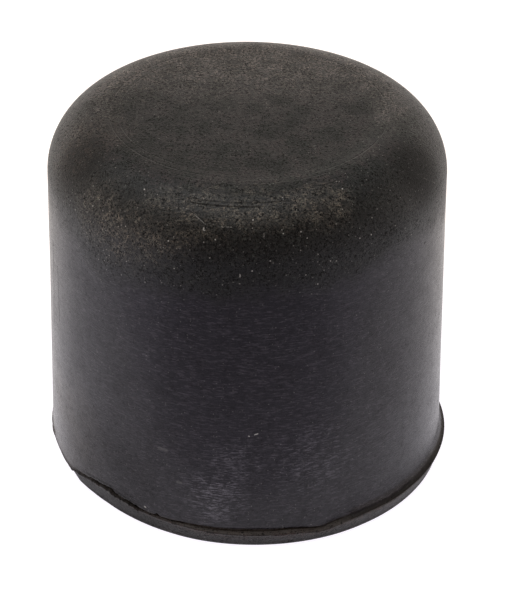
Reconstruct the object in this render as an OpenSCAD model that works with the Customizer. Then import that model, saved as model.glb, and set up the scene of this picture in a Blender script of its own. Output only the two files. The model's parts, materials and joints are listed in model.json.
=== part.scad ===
// Push-on rubber cap for the end of a round tube, moulded in one piece.
// It stands on its open mouth, with the closed end up.
// Origin: centre of the mouth on the bore axis, +Z towards the closed end. Millimetres.

/* [Tube grip] */
// Bore diameter, the same as the tube it grips
tube_d = 25; // [12:0.5:60]
// Depth of the blind bore from the mouth to its floor
grip_depth = 25; // [12:0.5:60]
// Width of the 45 degree lead-in around the mouth of the bore
lead_in = 0.8; // [0.2:0.1:1.2]
// Radius of the corner between the bore and its floor
floor_r = 1; // [0.4:0.1:3]

/* [Outer form] */
// Wall thickness beside the bore, at the shoulder
wall_t = 3.5; // [3:0.1:8]
// Thickness of the closed end
end_t = 6; // [3:0.1:12]
// Radius of the round shoulder between the wall and the end
shoulder_r = 5; // [1:0.25:8]
// Draft angle that lets the wall leave its mould, in degrees
draft = 0.8; // [0.2:0.1:2]

/* [Mouth rim] */
// Height of the rim that the lower half of the mould made, half way across the cap
rim_h = 1.7; // [1.2:0.1:4]
// How far the joint between the mould halves leans, higher on the left, in degrees
rim_lean = 0.4; // [0:0.1:1.6]
// How far the rim lies inside the foot of the wall, all round
rim_step = 0.05; // [0.05:0.05:0.4]
// How far the rim narrows towards the mouth
rim_taper = 0.5; // [0.1:0.05:0.6]
// Radius of the rim's outer edge at the mouth
rim_edge_r = 0.5; // [0.2:0.1:0.6]
// How far the mould halves were out of line from left to right
rim_shift_x = 0.6; // [0:0.1:0.8]
// How far the mould halves were out of line towards the front
rim_shift_y = 0.4; // [0:0.1:0.6]

/* [Torn flash] */
// Height of the crevice that the torn flash left between the wall and the rim
flash_t = 0.3; // [0.15:0.05:0.6]
// Mean depth of the crevice, inside the smaller of the wall's foot and the rim
flash_tear = 0.27; // [0.25:0.01:0.5]
// Size of the ragged teeth along the tear
flash_ragged = 0.2; // [0.05:0.01:0.2]
// How far the lip of flash stands out, where some was left on the foot of the wall
lip_out = 0.2; // [0.1:0.01:0.4]
// Thickness of the lip
lip_t = 0.2; // [0.1:0.05:0.5]
// Angle that the lip runs round the foot, in degrees
lip_span = 70; // [20:5:120]
// Direction of the middle of the lip, in degrees from the right-hand side
lip_side = 190; // [0:5:355]
// How far the web of whole flash lies inside the edge of the rim
web_in = 0.1; // [0.06:0.01:0.2]
// Angle that the web runs round the rim, in degrees
web_span = 100; // [20:5:110]
// Direction of the middle of the web, in degrees from the right-hand side
web_side = -10; // [-40:5:0]

/* [Hidden] */

// Black rubber
rubber = [0.15, 0.145, 0.145];
// Facets of a round face
$fn = 180;
// How far a cutting solid passes the face that it cuts
cut = 1;

bore_r = tube_d / 2;
// Radius where the shoulder begins, and of the flat disc on the end
cap_r = bore_r + wall_t;
crown_r = cap_r - shoulder_r;
cap_h = grip_depth + end_t;
// The wall starts above the rim and the flash, and meets the shoulder's arc along its tangent.
// Its section runs down past the leaning foot, which then cuts it off.
foot_z = rim_h + flash_t;
low_z = rim_h / 2;
shoulder_z = cap_h - shoulder_r;
tangent_r = crown_r + shoulder_r * cos(draft);
tangent_z = shoulder_z + shoulder_r * sin(draft);
foot_r = tangent_r + (tangent_z - foot_z) * tan(draft);
low_r = tangent_r + (tangent_z - low_z) * tan(draft);
// The rim's radius half way across under the flash, and at the mouth
rim_top_r = foot_r - rim_step;
rim_mouth_r = rim_top_r - rim_taper;
// How far the rim's section runs up past its leaning top, which then cuts it off
rim_spare = 1;
rim_spare_r = rim_top_r + rim_taper * rim_spare / (rim_h - rim_edge_r);
// Distance and direction that the two mould halves are out of line
shift = norm([rim_shift_x, rim_shift_y]);
shift_angle = atan2(-rim_shift_y, rim_shift_x);
// Steps around the torn edge, and along the lip
tear_steps = 240;
lip_steps = 48;
// Depth that the lip is rooted in the wall, and how blunt its two ends are
lip_root = 1;
lip_blunt = 10;
// How far the flash and the web run into the wall and the rim, above and below the crevice
flash_root = 0.05;
web_root = 0.1;
// Teeth along the lip
lip_ragged = lip_out / 3;

// Ragged teeth: five waves of unrelated counts, between minus one and one
function ragged(angle) =
    0.30 * sin(7 * angle + 20)
    + 0.26 * sin(17 * angle + 75)
    + 0.20 * sin(31 * angle + 140)
    + 0.14 * sin(53 * angle + 10)
    + 0.10 * sin(79 * angle + 200);

// Radius of the rim at its leaning top edge, about its own centre
function rim_r(angle) =
    rim_top_r - rim_taper * tan(rim_lean) * cap_r * cos(angle) / (rim_h - rim_edge_r);

// Distance from the bore axis to that edge, whose centre is out of line
function rim_reach(angle) =
    shift * cos(angle - shift_angle)
    + sqrt(pow(rim_r(angle), 2) - pow(shift * sin(angle - shift_angle), 2));

// Radius of the torn edge, which lies inside both the wall's foot and the rim
function tear_r(angle) =
    min(foot_r, rim_reach(angle))
    - flash_tear
    + flash_ragged * ragged(angle);

// Radius of the lip's edge, from minus one at one end of it to one at the other
function lip_r(along) =
    foot_r - lip_root
    + (lip_root + lip_out) * (1 - pow(along, lip_blunt))
    + lip_ragged * ragged(along * lip_span);

// Radius of the web's edge, from minus one at one end of it to one at the other
function web_r(along) =
    foot_r - lip_root
    + (rim_reach(web_side + along * web_span / 2) - web_in - foot_r + lip_root)
    * (1 - pow(along, lip_blunt));

function on_circle(radius, angle) = radius * [cos(angle), sin(angle)];

// Half section of the wall, shoulder and closed end
module wall_section() {
    polygon([
        [0, low_z],
        [low_r, low_z],
        [tangent_r, tangent_z],
        [crown_r, shoulder_z],
        [crown_r, cap_h],
        [0, cap_h]
    ]);
    translate([crown_r, shoulder_z])
        circle(r = shoulder_r);
}

// Half section of the rim, with its round outer edge
module rim_section() {
    edge_x = rim_mouth_r - rim_edge_r;
    polygon([
        [0, 0],
        [edge_x, 0],
        [edge_x, rim_edge_r],
        [rim_mouth_r, rim_edge_r],
        [rim_spare_r, rim_h + rim_spare],
        [0, rim_h + rim_spare]
    ]);
    translate([edge_x, rim_edge_r])
        circle(r = rim_edge_r);
}

// Half section of the bore: a straight wall, a flat floor with a round corner, and the lead-in
module bore_section() {
    square([bore_r, grip_depth - floor_r]);
    square([bore_r - floor_r, grip_depth]);
    translate([bore_r - floor_r, grip_depth - floor_r])
        circle(r = floor_r);
    polygon([
        [0, -cut],
        [bore_r + lead_in + cut, -cut],
        [bore_r, lead_in],
        [0, lead_in]
    ]);
}

// Puts its children on the leaning top of the rim
module on_rim() {
    translate([0, 0, rim_h])
        rotate([0, rim_lean, 0])
            children();
}

// Everything above the crevice, to cut the wall's foot with
module above_crevice() {
    on_rim()
        translate([-cap_h, -cap_h, flash_t])
            cube([2 * cap_h, 2 * cap_h, 2 * cap_h]);
}

// Everything below the crevice, to cut the rim's top with
module below_crevice() {
    on_rim()
        translate([-cap_h, -cap_h, -cap_h])
            cube([2 * cap_h, 2 * cap_h, cap_h]);
}

// What is left between the wall and the rim at the bottom of the crevice, with its torn outline
module torn_flash() {
    outline = [
        for (step = [0 : tear_steps - 1])
            let (angle = step * 360 / tear_steps)
            on_circle(tear_r(angle), angle)
    ];
    translate([0, 0, -flash_root])
        linear_extrude(height = flash_t + 2 * flash_root)
            polygon(outline);
}

// Lip of flash that stayed on the foot of the wall, rooted half above and half below its edge
module flash_lip() {
    edge = [
        for (step = [0 : lip_steps])
            let (along = 2 * step / lip_steps - 1)
            on_circle(lip_r(along), lip_side + along * lip_span / 2)
    ];
    root = [
        for (step = [lip_steps : -1 : 0])
            let (along = 2 * step / lip_steps - 1)
            on_circle(foot_r - 2 * lip_root, lip_side + along * lip_span / 2)
    ];
    translate([0, 0, flash_t - lip_t / 2])
        linear_extrude(height = lip_t)
            polygon(concat(edge, root));
}

// Web of flash that was never torn, and closes the crevice where the rim stands out
module flash_web() {
    edge = [
        for (step = [0 : lip_steps])
            let (along = 2 * step / lip_steps - 1)
            on_circle(web_r(along), web_side + along * web_span / 2)
    ];
    root = [
        for (step = [lip_steps : -1 : 0])
            let (along = 2 * step / lip_steps - 1)
            on_circle(foot_r - 2 * lip_root, web_side + along * web_span / 2)
    ];
    translate([0, 0, -web_root])
        linear_extrude(height = flash_t + 2 * web_root)
            polygon(concat(edge, root));
}

module cap() {
    color(rubber)
        difference() {
            union() {
                intersection() {
                    rotate_extrude()
                        wall_section();
                    above_crevice();
                }
                intersection() {
                    translate([rim_shift_x, -rim_shift_y, 0])
                        rotate_extrude()
                            rim_section();
                    below_crevice();
                }
                on_rim() {
                    torn_flash();
                    flash_lip();
                    flash_web();
                }
            }
            rotate_extrude()
                bore_section();
        }
}

cap();
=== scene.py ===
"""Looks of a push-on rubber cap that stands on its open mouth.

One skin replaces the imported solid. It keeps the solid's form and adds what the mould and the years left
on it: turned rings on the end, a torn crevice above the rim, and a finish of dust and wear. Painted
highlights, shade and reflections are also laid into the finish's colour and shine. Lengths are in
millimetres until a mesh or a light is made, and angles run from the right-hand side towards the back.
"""
import json
import math

import bpy
import numpy as np
from mathutils import Matrix, Vector


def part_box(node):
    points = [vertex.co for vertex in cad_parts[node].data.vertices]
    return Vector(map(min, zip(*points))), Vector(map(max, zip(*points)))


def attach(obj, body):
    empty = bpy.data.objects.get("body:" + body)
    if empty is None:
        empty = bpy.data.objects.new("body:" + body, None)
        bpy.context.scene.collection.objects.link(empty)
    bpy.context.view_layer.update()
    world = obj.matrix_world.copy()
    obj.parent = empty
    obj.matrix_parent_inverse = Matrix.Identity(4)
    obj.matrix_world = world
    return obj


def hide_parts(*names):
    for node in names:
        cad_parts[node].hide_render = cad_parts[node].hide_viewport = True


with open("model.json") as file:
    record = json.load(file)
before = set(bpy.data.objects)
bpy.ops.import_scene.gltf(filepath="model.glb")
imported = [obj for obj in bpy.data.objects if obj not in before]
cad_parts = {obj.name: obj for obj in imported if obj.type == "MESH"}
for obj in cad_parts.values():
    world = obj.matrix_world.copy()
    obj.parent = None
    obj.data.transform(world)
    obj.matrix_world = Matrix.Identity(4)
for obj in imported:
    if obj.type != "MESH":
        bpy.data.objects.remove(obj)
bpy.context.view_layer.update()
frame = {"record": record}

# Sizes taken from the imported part
MM = 0.001
mounts = {mount["name"]: mount for mount in frame["record"]["mounts"]}
_, node_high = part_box("cap")
cap_h = node_high.z / MM
bore_r = mounts["bore"]["dims"]["r_mm"]

# Sizes of the moulding that the record doesn't hold, the same as in the part's source
grip_depth = 25
lead_in = 0.8
floor_r = 1
wall_t = 3.5
shoulder_r = 5
draft = 0.8
rim_h = 1.7
rim_lean = 0.4
rim_step = 0.05
rim_taper = 0.5
rim_edge_r = 0.5
rim_shift_x = 0.6
rim_shift_y = -0.4
flash_t = 0.3
flash_tear = 0.27
flash_ragged = 0.2
lip_out = 0.2
lip_span = 70
lip_side = 190
web_span = 100
web_side = -10

# Sizes worked out from those
cap_r = bore_r + wall_t
crown_r = cap_r - shoulder_r
foot_z = rim_h + flash_t
shoulder_z = cap_h - shoulder_r
tangent_r = crown_r + shoulder_r * math.cos(math.radians(draft))
tangent_z = shoulder_z + shoulder_r * math.sin(math.radians(draft))
foot_r = tangent_r + (tangent_z - foot_z) * math.tan(math.radians(draft))
rim_top_r = foot_r - rim_step
rim_mouth_r = rim_top_r - rim_taper
rim_shift = math.hypot(rim_shift_x, rim_shift_y)
rim_shift_side = math.degrees(math.atan2(rim_shift_y, rim_shift_x))

# How far the skin lies inside the wall, how near the axis its rows stop, and how far the end falls away
skin_in = 0.006
pole_r = 0.4
end_sag = 0.12
# How far above the crevice the rows of the wall end, and how high the hollow flare reaches up the wall
wall_stop = 0.75
flare_h = 0.62

# The skin's grid
ANGLE_STEPS = 900
angle = np.arange(ANGLE_STEPS) * 360 / ANGLE_STEPS

# What the photograph shows round the rim, taken at the angles where it turns: degrees and mm.
# How far the crevice strays above or below the straight joint
WANDER = (
    (0, 0.15), (20, 0.05), (40, 0), (180, 0), (199, -0.05), (204, -0.18), (208, -0.12), (213, 0.36),
    (221, 0.76), (228, 0.90), (230.5, 0.66), (237, 0.34), (243, 0.20), (252, 0.13), (262, -0.05),
    (284, -0.05), (288, -0.25), (292, -0.36), (296, -0.12), (305, 0.12), (317, 0.08), (324, 0.20),
    (330, 0.15), (338, 0.26),
)
# How high the crevice is
OPENING = (
    (0, 0.3), (200, 0.12), (207, 0.04), (214, 0.08), (228, 0.22), (231, 0.22), (237, 0.24), (240, 0.12),
    (243, 0.10), (247, 0.10), (253, 0.16), (262, 0.32), (274, 0.30), (280, 0.22), (285, 0.15),
    (294, 0.05), (299, 0.02), (305, 0.2),
)
# How far the rim's side is out of true at the joint
SWELL = (
    (0, -0.09), (30, -0.06), (60, 0), (194, 0), (203, 0.38), (209, 0.40), (216, 0.08), (223, -0.12),
    (234, -0.14), (246, -0.1), (256, 0), (296, 0), (306, -0.08), (325, -0.10), (345, -0.10),
)


def around(places):
    """A value at every angle: straight lines between the places given, and on round to the first."""
    turns, values = zip(*places)
    return np.interp(angle, turns, values, period=360)


def ragged(turn):
    """Teeth along a tear: five sine waves of unrelated counts, between minus one and one. Turn is in
    degrees."""
    waves = ((0.30, 7, 20), (0.26, 17, 75), (0.20, 31, 140), (0.14, 53, 10), (0.10, 79, 200))
    return sum(size * np.sin(np.radians(count * turn + start)) for size, count, start in waves)


def smooth(value, low, high):
    """Zero below low, one above high, and 3t squared less 2t cubed between them."""
    t = np.clip((value - low) / (high - low), 0, 1)
    return t * t * (3 - 2 * t)


def rim_reach(radius):
    """Distance from the bore axis to a circle of that radius about the rim's own centre, at every angle:
    shift times the cosine, plus the root of radius squared less shift times the sine, squared."""
    turn = np.radians(angle - rim_shift_side)
    return rim_shift * np.cos(turn) + np.sqrt(radius ** 2 - (rim_shift * np.sin(turn)) ** 2)


def joint_z():
    """Height of the crevice's lower edge: the rim's height less the lean's slope times x, and how far the
    crevice strays from that."""
    lean = -math.tan(math.radians(rim_lean)) * cap_r * np.cos(np.radians(angle))
    return rim_h + lean + around(WANDER)


def swell(height):
    """How far the rim's side is out of true at a height: all of it at the joint, 0.6 of it at the mouth."""
    return around(SWELL) * (0.6 + 0.4 * np.clip(height / rim_h, 0, 1))


def rim_edge():
    """Distance from the bore axis to the rim's top edge, on the rim's tapered side."""
    return rim_reach(rim_top_r + rim_taper * (joint_z() - rim_h) / (rim_h - rim_edge_r)) + swell(rim_h)


def tear_r():
    """The torn edge: inside the smaller of the foot and the rim by the mean depth, more or less a tooth."""
    return np.minimum(foot_r, rim_edge()) - flash_tear + flash_ragged * ragged(angle)


def lip_rise():
    """How far the lip of flash stands out of the foot: one less the tenth power of the way along its span,
    and small teeth. Less of it is left than on the solid, and none where the crevice rises."""
    along = ((angle - lip_side + 180) % 360 - 180) / (lip_span / 2)
    hump = lip_out * (1 - np.abs(along) ** 10) + lip_out / 3 * ragged(along * lip_span)
    left = 0.6 - 0.4 * smooth(angle, 188, 194) + 0.2 * smooth(angle, 200, 205)
    left = left * (1 - smooth(angle, 208, 213))
    return np.where(np.abs(along) < 1, np.maximum(hump, 0), 0) * left


def opening():
    """How high the crevice is, with one small hole in it: a bell curve 0.7 degrees to each side."""
    return around(OPENING) + 0.22 * np.exp(-((angle - 244.2) / 0.7) ** 2)


def gape():
    """One where the crevice gapes on the left, zero elsewhere."""
    return smooth(np.abs(angle - 226), 16, 10)


def web_share():
    """One where the flash was never torn, zero where it was, with a short way between them."""
    along = np.abs((angle - web_side + 180) % 360 - 180) / (web_span / 2)
    return 1 - smooth(along, 0.94, 1.12)


def foot_teeth():
    """How far the foot's edge is up or down: small teeth all round, and larger ones where the crevice
    gapes."""
    return 0.04 * ragged(angle * 3 + 70) + 0.10 * ragged(angle * 7 + 10) * gape()


def chips():
    """How deep the rim's edge is chipped: the tops of one set of teeth all round, and of another where
    the crevice gapes."""
    small = 0.07 * smooth(ragged(angle * 2 + 11), 0.15, 0.5)
    large = 0.14 * smooth(ragged(angle * 7 + 50), 0, 0.5)
    return small + large * gape()


def sag(radius):
    """How far the end falls away from its middle: the square of radius, faded out over the shoulder."""
    return end_sag * (radius / crown_r) ** 2 * (1 - smooth(radius, 9.5, 14))


def all_round(rows):
    """Rows of the section at every angle, where a row that is one number is the same all round."""
    return np.broadcast_to(rows, (len(rows), ANGLE_STEPS))


def end_rows():
    """The end: radius runs out to the shoulder, and height is a very shallow dome."""
    radius = np.linspace(pole_r, crown_r, 14)[:-1, None]
    return radius, cap_h - sag(radius)


def shoulder_rows():
    """The shoulder: an arc from the top of the end to where the wall is tangent to it."""
    turn = np.radians(np.linspace(90, draft, 30))[:, None]
    radius = crown_r + shoulder_r * np.cos(turn)
    return radius, shoulder_z + shoulder_r * np.sin(turn) - sag(radius)


def wall_rows():
    """The wall: a straight line from the shoulder to the foot, pressed in a little by two sine waves, round
    and down, and least at both ends."""
    t = np.linspace(0, 1, 24)[1:-1, None]
    height = tangent_z + (joint_z() + flash_t + wall_stop - tangent_z) * t
    broad = np.sin(np.radians(3 * angle + 40)) * np.sin(9 * t + 1)
    narrow = np.sin(np.radians(5 * angle)) * np.sin(14 * t)
    press = 0.012 * (2 + broad + narrow) * np.sin(np.pi * t) + skin_in
    return tangent_r + (tangent_z - height) * math.tan(math.radians(draft)) - press, height


def torn_section():
    """Where the flash was torn out: the foot's ragged edge, the lip, the way in to the tear and out along
    the rim. Each row is a distance from the axis and a height above the joint."""
    foot = foot_r - skin_in
    lip = lip_rise()
    tear = tear_r()
    reach = rim_edge()
    chip = chips()
    top = opening() + foot_teeth()
    return [
        (foot - 0.002, top + 0.34),
        (foot, top + 0.12),
        (foot + lip, top + 0.04),
        (foot - 0.03 + lip, top - 0.02),
        (foot - 0.10, top - 0.05),
        (tear + 0.06, top - 0.07),
        (tear, top - 0.10),
        (tear, 0.04),
        (tear + 0.06, -chip / 2),
        (reach - 0.16, -0.02 - chip / 2),
        (reach - 0.06, -0.07 - chip),
        (reach - 0.01, -0.16 - chip),
    ]


def flare_section():
    """Where the web is whole: as many rows in a hollow flare from the wall out to the rim's edge. Its height
    is flare_h times what is left of the way out to the power 2.4, and a little of the foot's teeth."""
    foot = foot_r - skin_in
    out = rim_edge() - 0.02 - foot
    parts = (0.0, 0.06, 0.14, 0.24, 0.35, 0.47, 0.59, 0.70, 0.80, 0.89, 0.96, 1.0)
    return [(foot + out * part, flare_h * (1 - part) ** 2.4 + 0.02 * foot_teeth() + 0.02) for part in parts]


def crevice_rows():
    """The crevice: the torn rows, or the flare's in the share that the web is whole."""
    whole = web_share()
    rows = [
        (torn_r * (1 - whole) + flare_r * whole, torn_z * (1 - whole) + flare_z * whole)
        for (torn_r, torn_z), (flare_r, flare_z) in zip(torn_section(), flare_section())
    ]
    radius, height = np.array(rows).swapaxes(0, 1)
    return radius, joint_z() + height


def rim_rows():
    """The rim about its own centre: its tapered side, a straight line, then its edge, a quarter circle."""
    top = joint_z() - 0.22
    side = top + (rim_edge_r - top) * np.linspace(0, 1, 5)[:, None]
    taper = rim_mouth_r + rim_taper * (side - rim_edge_r) / (rim_h - rim_edge_r)
    turn = all_round(np.radians(np.linspace(0, -90, 8)[1:, None]))
    edge_r = rim_mouth_r - rim_edge_r + rim_edge_r * np.cos(turn)
    edge_z = rim_edge_r + rim_edge_r * np.sin(turn)
    height = np.vstack([side, edge_z])
    return rim_reach(np.vstack([taper, edge_r])) + swell(height), height


def bore_rows():
    """The lead-in, the bore, the round corner and the floor, in to near the axis."""
    turn = np.radians(np.linspace(0, 90, 7))
    corner_r = bore_r - floor_r + floor_r * np.cos(turn)
    corner_z = grip_depth - floor_r + floor_r * np.sin(turn)
    radius = [bore_r + lead_in + 0.05, bore_r + lead_in, bore_r, bore_r, bore_r, *corner_r, 8, 4, pole_r]
    height = [0, 0, lead_in, 8, 16, *corner_z, grip_depth, grip_depth, grip_depth]
    return np.array(radius)[:, None], np.array(height)[:, None]


def skin_faces(rows):
    """Four-sided faces between each row and the next, and a fan of triangles round the pole at each end,
    whose two points come after all the rows."""
    here = np.arange(ANGLE_STEPS)
    after = (here + 1) % ANGLE_STEPS
    row = np.arange(rows - 1)[:, None] * ANGLE_STEPS
    quads = np.stack([row + here, row + ANGLE_STEPS + here, row + ANGLE_STEPS + after, row + after], axis=2)
    last = (rows - 1) * ANGLE_STEPS
    end_pole = np.full(ANGLE_STEPS, rows * ANGLE_STEPS)
    end_fan = np.stack([end_pole, here, after], axis=1)
    floor_fan = np.stack([last + here, end_pole + 1, last + after], axis=1)
    return quads.reshape(-1, 4).tolist() + end_fan.tolist() + floor_fan.tolist()


def skin_mesh():
    """The closed skin: every row of the section turned round the bore axis, with a pole at each end. It also
    holds how far each point is above the joint, and whether the web is whole there."""
    stretches = [end_rows(), shoulder_rows(), wall_rows(), crevice_rows(), rim_rows(), bore_rows()]
    radius = np.vstack([all_round(stretch_r) for stretch_r, _ in stretches])
    height = np.vstack([all_round(stretch_z) for _, stretch_z in stretches])
    turn = np.radians(angle)
    rings = np.stack([radius * np.cos(turn), radius * np.sin(turn), height], axis=2)
    poles = [[0, 0, height[0, 0]], [0, 0, height[-1, 0]]]
    points = np.vstack([rings.reshape(-1, 3), poles]) * MM
    mesh = bpy.data.meshes.new("rubber_cap")
    mesh.from_pydata(points.tolist(), [], skin_faces(len(rings)))
    above = np.append((height - joint_z()).ravel(), [cap_h, cap_h])
    whole = np.append(np.broadcast_to(web_share(), height.shape).ravel(), [0, 0])
    for name, values in (("above_joint", above), ("whole_web", whole)):
        mesh.attributes.new(name, "FLOAT", "POINT").data.foreach_set("value", values.astype(np.float32))
    mesh.validate()
    mesh.shade_smooth()
    return mesh


class Number:
    """A number that varies over the surface: one socket, on which Python's operators add Math nodes."""

    def __init__(self, paint, socket):
        self.paint = paint
        self.socket = socket

    def math(self, operation, *operands):
        made = self.paint.node("ShaderNodeMath", {"operation": operation}, dict(enumerate(operands)))
        return Number(self.paint, made.outputs[0])

    def __add__(self, other):
        return self.math("ADD", self, other)

    def __radd__(self, other):
        return self.math("ADD", other, self)

    def __sub__(self, other):
        return self.math("SUBTRACT", self, other)

    def __rsub__(self, other):
        return self.math("SUBTRACT", other, self)

    def __mul__(self, other):
        return self.math("MULTIPLY", self, other)

    def __rmul__(self, other):
        return self.math("MULTIPLY", other, self)

    def __truediv__(self, other):
        return self.math("DIVIDE", self, other)

    def __pow__(self, other):
        return self.math("POWER", self, other)

    def __abs__(self):
        return self.math("ABSOLUTE", self)

    def most(self, other):
        """The larger of the two."""
        return self.math("MAXIMUM", self, other)

    def smooth(self, low, high):
        """Zero below low and one above high, or the other way round where high is the smaller."""
        made = self.paint.node(
            "ShaderNodeMapRange",
            {"interpolation_type": "SMOOTHSTEP"},
            {"Value": self, "From Min": low, "From Max": high},
        )
        return Number(self.paint, made.outputs["Result"])


class Paint:
    """One node tree, and the few kinds of node that the finishes need."""

    def __init__(self, owner):
        owner.use_nodes = True
        self.tree = owner.node_tree
        self.tree.nodes.clear()

    def node(self, kind, settings=None, sockets=None):
        """A node of that type. Its settings are set first, then the value or link of each socket."""
        made = self.tree.nodes.new(kind)
        for name, value in (settings or {}).items():
            setattr(made, name, value)
        for name, value in (sockets or {}).items():
            if isinstance(value, Number):
                value = value.socket
            if isinstance(value, bpy.types.NodeSocket):
                self.tree.links.new(value, made.inputs[name])
            else:
                made.inputs[name].default_value = value
        return made

    def vector(self, operation, *operands):
        """The vector that comes out of a Vector Math node."""
        made = self.node("ShaderNodeVectorMath", {"operation": operation}, dict(enumerate(operands)))
        return made.outputs["Vector"]

    def length(self, operation, *operands):
        """The number that comes out of a Vector Math node."""
        made = self.node("ShaderNodeVectorMath", {"operation": operation}, dict(enumerate(operands)))
        return Number(self, made.outputs["Value"])

    def scaled(self, vector, factor):
        made = self.node("ShaderNodeVectorMath", {"operation": "SCALE"}, {0: vector, "Scale": factor})
        return made.outputs["Vector"]

    def joined(self, x, y, z):
        return self.node("ShaderNodeCombineXYZ", None, {"X": x, "Y": y, "Z": z}).outputs[0]

    def axes(self, vector):
        made = self.node("ShaderNodeSeparateXYZ", None, {0: vector})
        return [Number(self, axis) for axis in made.outputs]

    def from_mesh(self, name):
        """A number that the mesh holds for each of its points."""
        made = self.node("ShaderNodeAttribute", {"attribute_name": name})
        return Number(self, made.outputs["Fac"])

    def object_place(self):
        """Where a point is on its own object, in metres."""
        return self.node("ShaderNodeTexCoord").outputs["Object"]

    def noise(self, place, per_mm, detail=2.0, roughness=0.5):
        """Soft noise of that many lumps a millimetre, about 0 to 1."""
        made = self.node(
            "ShaderNodeTexNoise",
            {"noise_dimensions": "3D"},
            {"Vector": place, "Scale": per_mm, "Detail": detail, "Roughness": roughness},
        )
        return Number(self, made.outputs[0])

    def mix(self, factor, first, second):
        """A colour between first and second."""
        made = self.node("ShaderNodeMix", {"data_type": "RGBA"}, {0: factor, 6: first, 7: second})
        return made.outputs[2]

    def shader(self, colour, roughness, normal, ior):
        """One shader, over which the colour, the roughness and the normal may vary."""
        sockets = {"Base Color": colour, "Roughness": roughness, "Normal": normal, "IOR": ior}
        return self.node("ShaderNodeBsdfPrincipled", None, sockets).outputs[0]

    def mix_shaders(self, factor, first, second):
        return self.node("ShaderNodeMixShader", None, {0: factor, 1: first, 2: second}).outputs[0]

    def surface(self, shader):
        self.node("ShaderNodeOutputMaterial", None, {"Surface": shader})


# Marks that stand out in the photograph: where each starts and stops, half its width in millimetres, and
# for the light ones their strength
LIGHT_MARKS = (
    ((-3.24, -14.84, 28.73), (-3.19, -14.88, 28.69), 0.10, 1.0),
    ((0.22, -16.21, 10.84), (0.25, -16.21, 10.82), 0.09, 1.0),
    ((0.68, -16.20, 10.96), (0.92, -16.18, 11.05), 0.08, 1.0),
    ((-0.50, -16.00, 25.50), (-0.52, -16.01, 25.25), 0.08, 0.7),
    ((-1.93, -14.89, 28.98), (-1.15, -14.95, 29.01), 0.05, 0.35),
    ((1.28, -15.21, 28.61), (1.29, -15.39, 28.29), 0.05, 0.4),
    ((-3.87, -14.06, 29.48), (-3.11, -14.63, 29.05), 0.045, 0.35),
    ((-8.10, -14.18, 2.52), (-8.02, -14.23, 2.48), 0.09, 0.9),
    ((13.71, -6.69, 28.63), (14.65, -5.68, 27.66), 0.05, 0.3),
    ((-6.85, -14.75, 8.6), (-6.30, -15.00, 8.6), 0.22, 0.12),
    ((-5.40, -15.35, 5.8), (-5.15, -15.42, 5.8), 0.18, 0.12),
)
DARK_MARKS = (
    ((-15.47, -4.32, 21.4), (-15.68, -3.97, 13.5), 0.10),
    ((-15.10, -5.55, 19.8), (-15.08, -5.79, 14.8), 0.08),
    ((13.89, -8.02, 23.66), (13.90, -8.02, 23.60), 0.14),
)
# Rings that the turned mould left round the end: radius, half width, depth, the side that shows them
# most, and the cosine from that side at which they have faded out
RINGS = (
    (10.25, 0.07, 0.6, 185, 0.2),
    (10.95, 0.09, 0.7, 190, 0.2),
    (11.15, 0.08, 0.6, 5, 0.2),
    (11.62, 0.06, 0.4, 275, 0.6),
    (12.76, 0.06, 0.4, 280, 0.8),
    (13.55, 0.05, 0.4, 266, 0.9),
    (13.84, 0.05, 1.0, 263, 0.97),
)

# Refractive index of the rubber, and of the dull dark surface for dirt in pits, wear and painted shade
RUBBER_IOR = 1.38
HOLLOW_AND_SHADE_IOR = 1.15
# Depth of the relief, in millimetres
RELIEF = 0.066


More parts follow.
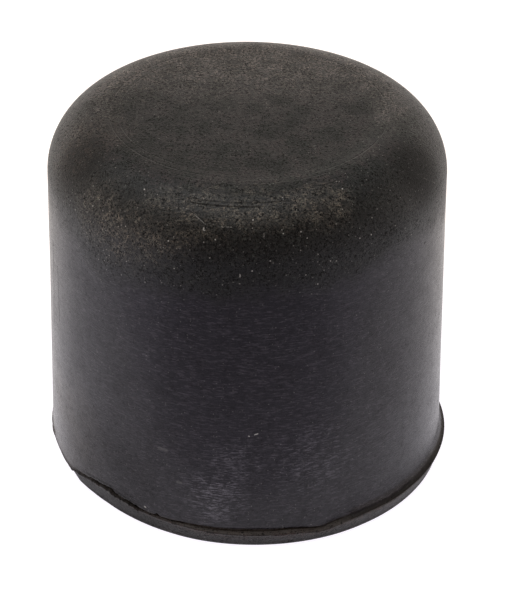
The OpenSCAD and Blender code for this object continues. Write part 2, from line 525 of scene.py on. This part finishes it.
class Rubber:
    """The cap's rubber: its patterns, and the dust, the wear and the colours that are made of them. Places
    are in millimetres on the cap, with y towards the back."""

    def __init__(self, paint):
        self.paint = paint
        self.place = paint.scaled(paint.object_place(), 1 / MM)
        self.x, self.y, self.z = paint.axes(self.place)
        self.radius = (self.x * self.x + self.y * self.y) ** 0.5
        self.above = paint.from_mesh("above_joint")
        self.add_patterns()
        self.dark_marks = sum(self.stroke(*mark) for mark in DARK_MARKS)
        self.light_marks = self.specks()
        for start, stop, width, strength in LIGHT_MARKS:
            self.light_marks = self.light_marks.most(self.stroke(start, stop, width) * strength)

    def add_patterns(self):
        """Noises, and where the rubber is matt, where the rim is and where the end is flat."""
        paint, place = self.paint, self.place
        x, y, z = self.x, self.y, self.z
        self.coarse = paint.noise(place, 4.5, 2.0, 0.6)
        self.grain = paint.noise(place, 10.0, 2.0, 0.7) * 0.6 + self.coarse * 0.4
        self.mottle = paint.noise(place, 1.8, 2.0, 0.6).smooth(0.32, 0.68)
        self.patches = paint.noise(place, 0.5, 3.0, 0.6)
        self.clouds = paint.noise(place, 0.16, 2.0, 0.5)
        self.dashes = paint.noise(paint.joined(x * 1.6, y * 1.6, z * 9.0), 1.0, 3.0, 0.75)
        lathe = paint.joined(self.radius * 5.0 + x * 0.2, z * 5.0, y * 0.2)
        self.turned = paint.noise(lathe, 1.0, 2.0, 0.6)
        self.matt = (z + (self.clouds - 0.5) * 6.0 + (self.patches - 0.5) * 2.0).smooth(22.6, 26.0)
        self.rim = self.above.smooth(0.28, -0.05)
        self.rough = self.matt.most(self.rim)
        self.flat = z.smooth(30.2, 30.9)

    def ball(self, centre, reach):
        """One at the centre, falling to zero at that reach."""
        return self.paint.length("DISTANCE", self.place, centre).smooth(reach, reach * 0.25)

    def stroke(self, start, stop, width):
        """A straight mark from start to stop: one along it and zero at that width to its side."""
        paint = self.paint
        along = Vector(stop) - Vector(start)
        from_start = paint.vector("SUBTRACT", self.place, tuple(start))
        part = paint.length("DOT_PRODUCT", from_start, tuple(along)) / along.length_squared
        part = paint.node("ShaderNodeClamp", None, {"Value": part}).outputs[0]
        off = paint.vector("SUBTRACT", from_start, paint.scaled(tuple(along), part))
        return paint.length("LENGTH", off).smooth(width, width * 0.3)

    def scattered(self, per_mm, size, share):
        """Small round specks: one point in each cell of a millimetre over per_mm, of which a share is kept.
        One at the speck's middle and zero at its edge, size millimetres away."""
        made = self.paint.node("ShaderNodeTexVoronoi", None, {"Vector": self.place, "Scale": per_mm})
        luck = self.paint.axes(made.outputs["Color"])[0]
        near = Number(self.paint, made.outputs["Distance"]).smooth(size * per_mm, size * per_mm * 0.3)
        return near * luck.smooth(1 - share - 0.05, 1 - share + 0.05)

    def specks(self):
        """Light specks: many faint ones, and bright ones that show most on the front of the shoulder."""
        front = self.y.smooth(-8.0, -12.0) * self.z.smooth(30.9, 30.2)
        faint = self.scattered(4.0, 0.060, 0.20) * 0.45 * (0.60 + 0.40 * self.matt)
        bright = self.scattered(2.2, 0.080, 0.24) * (0.12 + 0.20 * self.matt + 0.68 * front * self.matt)
        return faint.most(bright)

    def shoulder_dust_and_highlight(self):
        """Dust and a painted highlight along the front of the shoulder, from the right over the crest and
        down on
            the left.
        """
        # Partly dust, partly a painted highlight where the crest catches the overhead light.
        crest = self.stroke((6.0, -12.8, 29.8), (-3.0, -13.8, 29.7), 2.8)
        left = self.stroke((-2.5, -14.0, 29.7), (-9.5, -12.9, 27.0), 3.6)
        far_left = self.ball((-11.6, -11.0, 27.6), 3.6)
        return left.most(far_left).most(crest) * (0.5 + 0.5 * self.patches.smooth(0.40, 0.56))

    def bloom_and_reflection(self):
        """Pale streaks low on the front of the wall: partly the pale film that rubber sweats out, partly a
        painted
            reflection of the bright floor near the foot.
        """
        low = self.ball((-2.4, -16.1, 5.0), 3.4)
        middle = self.ball((-0.8, -16.2, 8.2), 3.0) * 0.55
        right = self.ball((5.3, -15.3, 8.0), 4.5) * 0.45
        return low.most(middle).most(right) * (self.dashes * 0.8 + self.patches * 0.2).smooth(0.48, 0.62)

    def end_colour(self):
        """The end and the shoulder: near black, with a painted highlight as a lighter ring and a lighter
        back on
            the end, dust and a painted highlight along the front of the shoulder, lighter brown on the left
            side, all broken up by the grain."""
        paint, radius, y = self.paint, self.radius, self.y
        grey_or_brown = self.patches.smooth(0.40, 0.60)
        flat_colour = paint.mix(grey_or_brown, (0.0044, 0.0060, 0.0042, 1), (0.0088, 0.0046, 0.0046, 1))
        colour = paint.mix(self.flat, (0.0042, 0.0032, 0.0026, 1), flat_colour)
        # Painted highlight: a lighter ring round the back half of the end, where the shoulder turns down.
        painted_ring_highlight = radius.smooth(9.3, 10.8) * radius.smooth(13.2, 12.0) * y.smooth(-5.0, 1.0)
        colour = paint.mix(painted_ring_highlight * 0.6, colour, (0.050, 0.042, 0.036, 1))
        # Dust, and a painted highlight along the crest at the front of the shoulder.
        colour = paint.mix(self.shoulder_dust_and_highlight(), colour, (0.0300, 0.0243, 0.0185, 1))
        colour = paint.mix(self.ball((-12.5, -4.0, 30.5), 5.0) * 0.5, colour, (0.0300, 0.0185, 0.0130, 1))
        # Painted highlight: the end made lighter towards the back.
        colour = paint.mix(y.smooth(-2.0, 11.0) * self.flat, colour, (0.046, 0.037, 0.031, 1))
        tint = paint.noise(paint.vector("ADD", self.place, (5.0, 3.0, 9.0)), 6.0, 2.0, 0.5)
        colour = paint.mix(tint.smooth(0.35, 0.65) * 0.5, colour, (0.010, 0.013, 0.0115, 1))
        grainy = self.grain.smooth(0.40, 0.66) ** 1.5 * 3.6 + 0.20
        colour = paint.scaled(colour, grainy * (0.35 + 1.3 * self.mottle))
        return paint.mix(self.light_marks, colour, (0.45, 0.43, 0.40, 1))

    def wall_colour(self):
        """The wall: bluish black with short pale dashes, pale streaks on the front that are partly a painted
            reflection, and a warm painted reflection on the left.
        """
        paint = self.paint
        dashed = self.dashes.smooth(0.50, 0.64) * 0.8
        colour = paint.mix(dashed, (0.0040, 0.0024, 0.0060, 1), (0.040, 0.034, 0.044, 1))
        # Pale streaks low on the front, partly a painted reflection of the floor near the foot.
        colour = paint.mix(self.bloom_and_reflection(), colour, (0.110, 0.104, 0.124, 1))
        # Painted reflection: a warm, lighter tinge on the left of the wall, where it turns to the side.
        warm = self.stroke((-15.4, 5.0, 3.0), (-15.6, -4.5, 5.0), 9.5)
        warm = warm * (0.10 + 0.55 * self.clouds.smooth(0.30, 0.70))
        colour = paint.mix(warm, colour, (0.048, 0.034, 0.020, 1))
        colour = paint.mix(self.rim, colour, self.rim_colour())
        return paint.mix(self.light_marks, colour, (0.40, 0.39, 0.38, 1))

    def rim_colour(self):
        """The rim: brown black, browner near the joint, with dust caught in the crevice."""
        paint, above = self.paint, self.above
        upper = above.smooth(-0.9, -0.2)
        colour = paint.mix(upper, (0.0064, 0.0043, 0.0044, 1), (0.0135, 0.0070, 0.0056, 1))
        grainy = self.grain.smooth(0.38, 0.68) * 2.2 + 0.2
        colour = paint.scaled(colour, grainy * (0.3 + 1.3 * self.mottle))
        inside = above.smooth(0.34, 0.24) * above.smooth(-0.16, -0.02)
        return paint.mix(inside * (0.4 + 0.6 * self.coarse), colour, (0.060, 0.050, 0.044, 1))

    def ring(self, ring_r, width, depth, way, reach):
        """One turned ring: a groove at that radius, which fades away from the side that shows it."""
        facing = (self.x * math.cos(math.radians(way)) + self.y * math.sin(math.radians(way))) / self.radius
        groove = abs(self.radius - ring_r).smooth(width, 0)
        return groove * facing.smooth(reach, reach * 0.2 + 0.8) * depth

    def relief(self):
        """Height of the surface: turned lines, grain and dashes, less the scratches and the turned rings."""
        turned_lines = self.turned * (0.05 + 0.25 * self.matt)
        grain = self.grain * (0.14 + 0.86 * self.rough)
        rings = sum(self.ring(*ring) for ring in RINGS)
        return turned_lines + grain + self.dashes * 0.16 - self.dark_marks * 0.6 - rings

    def wear_and_painted_shade(self):
        """Where the surface is made dark and dull: wear in patches and low on the left of the rim, and
        painted shade
            on the front of the shoulder, in the middle of the end and low on the left of the wall."""
        x, y, z = self.x, self.y, self.z
        # Painted shade on the front of the shoulder, below the crest, which faces away from the light.
        front = y.smooth(-9.0, -12.5) * z.smooth(29.6, 28.6) * self.matt * x.smooth(-9.0, -4.0)
        # Painted shade in the middle of the end, most towards the front.
        middle = (self.radius + x * 0.14).smooth(12.2, 10.0) * y.smooth(9.0, -1.0)
        # Painted shade low on the left of the wall, where it mirrors the shaded floor by the foot.
        shaded_low_left = self.ball((-11.0, -11.6, 4.0), 8.0) * (1 - self.rim)
        patchy = self.patches.smooth(0.60, 0.36) * (0.10 + 0.15 * self.flat) + self.mottle * 0.10
        left_rim = x.smooth(-4.0, -9.0) * self.rim
        return patchy + front * 0.22 + middle * 0.24 + left_rim * 0.40 + shaded_low_left * 0.22

    def crumbs(self):
        """Dark crumbs along the torn edges on the left."""
        off_edge = abs(self.above - 0.15)
        torn = (1 - off_edge / 0.55).smooth(0.0, 0.6) * self.ball((-11.2, -12.0, 3.4), 7.5)
        lumps = (self.grain + 0.13 * torn).smooth(0.57, 0.62)
        return lumps * torn * abs(self.above - 0.12).smooth(0.08, 0.20)

    def hollows_and_painted_shade(self):
        """Where the surface is dark and hardly shines: pits of the grain, wear and painted shade, scratches,
        two
            stains on the shoulder, painted shade along the joint where the web is whole, and the crumbs."""
        pits = self.grain.smooth(0.50, 0.36) * (0.25 + 0.75 * self.rough) * (0.6 + 0.8 * self.mottle)
        stains = self.ball((13.1, -6.3, 29.1), 4.5).most(self.ball((-12.7, -5.9, 29.7), 4.4))
        # Painted shade on the flare in the crease between the wall and the rim, where the web is whole.
        at_joint = self.above.smooth(0.32, 0.12) * self.above.smooth(-0.06, 0.03)
        joint_shade = at_joint * self.paint.from_mesh("whole_web") * (0.28 + 0.5 * self.coarse)
        marks = (self.dark_marks * 0.6).most(stains * 0.60).most(joint_shade).most(self.crumbs() * 0.8)
        return marks.most(pits + self.wear_and_painted_shade())


def rubber_material():
    """Black rubber: matt and brown with dust on the end and the shoulder, satin and bluish on the wall, with
    painted highlights, shade and reflections in its colour and shine.
    """
    material = bpy.data.materials.new("black_rubber")
    paint = Paint(material)
    rubber = Rubber(paint)
    relief = {"Strength": 1.0, "Distance": RELIEF * MM, "Height": rubber.relief()}
    bump = paint.node("ShaderNodeBump", None, relief).outputs[0]
    satin_rough = 0.27 + 0.30 * (rubber.dashes - 0.5) + 0.10 * (rubber.turned - 0.5) + 0.25 * rubber.rim
    dusty_rough = 0.42 + 0.25 * (rubber.grain - 0.5)
    satin = paint.shader(rubber.wall_colour(), satin_rough, bump, RUBBER_IOR)
    # The end's colour holds painted highlights as well as dust.
    dust_and_highlight_shader = paint.shader(rubber.end_colour(), dusty_rough, bump, RUBBER_IOR)
    # A dull dark surface for dirt in pits, wear, stains and painted shade.
    hollow = paint.shader((0.004, 0.0035, 0.003, 1), 0.6, bump, HOLLOW_AND_SHADE_IOR)
    sound = paint.mix_shaders(rubber.matt, satin, dust_and_highlight_shader)
    paint.surface(paint.mix_shaders(rubber.hollows_and_painted_shade(), sound, hollow))
    return material


def glow_material(name, albedo, glow):
    """Matt paper that also shines: glow is a function that gives the socket or the colour for it."""
    material = bpy.data.materials.new(name)
    paint = Paint(material)
    sockets = {
        "Base Color": (*albedo, 1),
        "Roughness": 0.9,
        "Specular IOR Level": 0,
        "Emission Color": glow(paint),
        "Emission Strength": 1,
    }
    paint.surface(paint.node("ShaderNodeBsdfPrincipled", None, sockets).outputs[0])
    return material


def floor_glow(paint):
    """What the lit floor gives off: bluish before the cap and beside it, and warm behind it."""
    across, ahead, _ = paint.axes(paint.object_place())
    beside = paint.mix(across.smooth(0.019, 0.036), (0.96, 0.93, 1.00, 1), (0.81, 0.77, 0.82, 1))
    return paint.mix(ahead.smooth(-0.01, 0.05), beside, (0.93, 0.85, 0.80, 1))


def front_glow(paint):
    """What the floor before the cap sends back: less in the camera's shade, which widens away from the cap,
    and a little less where the cap stands close."""
    place = paint.object_place()
    across, ahead, _ = paint.axes(place)
    aside = abs(across) / (0.0 - ahead)
    near = ahead.smooth(-0.060, -0.020)
    lit = aside.smooth(0.45, 1.25).most(near * 0.6)
    bright = paint.mix(across.smooth(0.012, 0.045), (0.99, 0.94, 1.08, 1), (0.92, 0.87, 0.97, 1))
    glow = paint.mix(lit, (0.41, 0.39, 0.44, 1), bright)
    under_cap = paint.length("LENGTH", place).smooth(0.030, 0.018) * 0.14
    return paint.mix(under_cap, glow, (0, 0, 0, 1))


def faint_glow(paint):
    """Hardly any, and the same all over."""
    return (0.03, 0.025, 0.02, 1)


def add_piece(mesh, material):
    piece = bpy.data.objects.new(mesh.name, mesh)
    mesh.materials.append(material)
    bpy.context.scene.collection.objects.link(piece)
    return piece


def add_panel(name, corners, material):
    """A flat four-sided panel that is part of the studio. Corners in metres."""
    mesh = bpy.data.meshes.new(name)
    mesh.from_pydata(corners, [], [(0, 1, 2, 3)])
    panel = add_piece(mesh, material)
    return panel


def add_floor():
    """A pale lit floor."""
    half = 3.0
    corners = [(-half, -half, 0), (half, -half, 0), (half, half, 0), (-half, half, 0)]
    add_panel("floor", corners, glow_material("floor_paper", (0.35, 0.35, 0.35), floor_glow))


def add_room():
    """A pale room, which is darker overhead and, in part, on the right."""
    world = bpy.data.worlds.new("room")
    paint = Paint(world)
    right, _, up = paint.axes(paint.node("ShaderNodeTexCoord").outputs["Generated"])
    darker = up.smooth(0.15, 0.53).most(right.smooth(0.3, 0.8) * 0.4)
    room = paint.mix(darker, (1.80, 1.62, 1.48, 1), (0.22, 0.215, 0.21, 1))
    sky = paint.node("ShaderNodeBackground", None, {"Color": room, "Strength": 1})
    paint.node("ShaderNodeOutputWorld", None, {"Surface": sky.outputs[0]})
    bpy.context.scene.world = world


def add_cards():
    """Two cards that the camera doesn't see: a dark one upright behind it, and one just over the floor
    before the cap, which the camera shades."""
    half, low, high, away = 0.5, 0.02, 0.75, -0.5
    corners = [(-half, away, low), (half, away, low), (half, away, high), (-half, away, high)]
    card = add_panel("dark_card", corners, glow_material("dark_card", (0.19, 0.16, 0.13), faint_glow))
    card.visible_camera = False

    half, near, lift = 0.3, -0.024, 0.0003
    corners = [(-half, away, lift), (half, away, lift), (half, near, lift), (-half, near, lift)]
    card = add_panel("front_card", corners, glow_material("front_card", (0.10, 0.10, 0.10), front_glow))
    card.visible_camera = False


def add_softbox(name, place, size, watts):
    """A square soft box of that size, at place, that faces the cap."""
    light = bpy.data.lights.new(name, "AREA")
    light.shape = "SQUARE"
    light.size = size
    light.energy = watts
    box = bpy.data.objects.new(name, light)
    box.location = place
    aim = Vector((0, 0, cap_h / 2 * MM)) - place
    box.rotation_euler = aim.to_track_quat("-Z", "Y").to_euler()
    box.visible_camera = False
    bpy.context.scene.collection.objects.link(box)


def add_camera():
    """The photograph's view: from the front, looking down, from about fourteen radii away."""
    elevation = math.radians(31.54)
    roll = math.radians(-0.29)
    distance = 0.220
    target = Vector((0, 0, 0.015))
    focal_px = 2671
    offset_px = (-8.28, -17.77)
    long_side_px = 600
    sensor_mm = 36
    ahead = Vector((0, math.cos(elevation), -math.sin(elevation)))
    right = Vector((1, 0, 0))
    down = ahead.cross(right)
    turned_right = math.cos(roll) * right + math.sin(roll) * down
    turned_down = math.cos(roll) * down - math.sin(roll) * right
    data = bpy.data.cameras.new("camera")
    data.sensor_width = sensor_mm
    data.lens = focal_px / long_side_px * sensor_mm
    data.shift_x = -offset_px[0] / long_side_px
    data.shift_y = offset_px[1] / long_side_px
    camera = bpy.data.objects.new("camera", data)
    axes = Matrix((turned_right, -turned_down, -ahead)).transposed().to_4x4()
    camera.matrix_world = Matrix.Translation(target - ahead * distance) @ axes
    bpy.context.scene.collection.objects.link(camera)
    bpy.context.scene.camera = camera


cap = add_piece(skin_mesh(), rubber_material())
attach(cap, "root")
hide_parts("cap")

add_floor()
add_room()
add_cards()
add_softbox("overhead", Vector((-0.12, -0.01, 0.7)), 0.62, 4.1)
add_camera()
bpy.context.scene.view_settings.view_transform = "Standard"
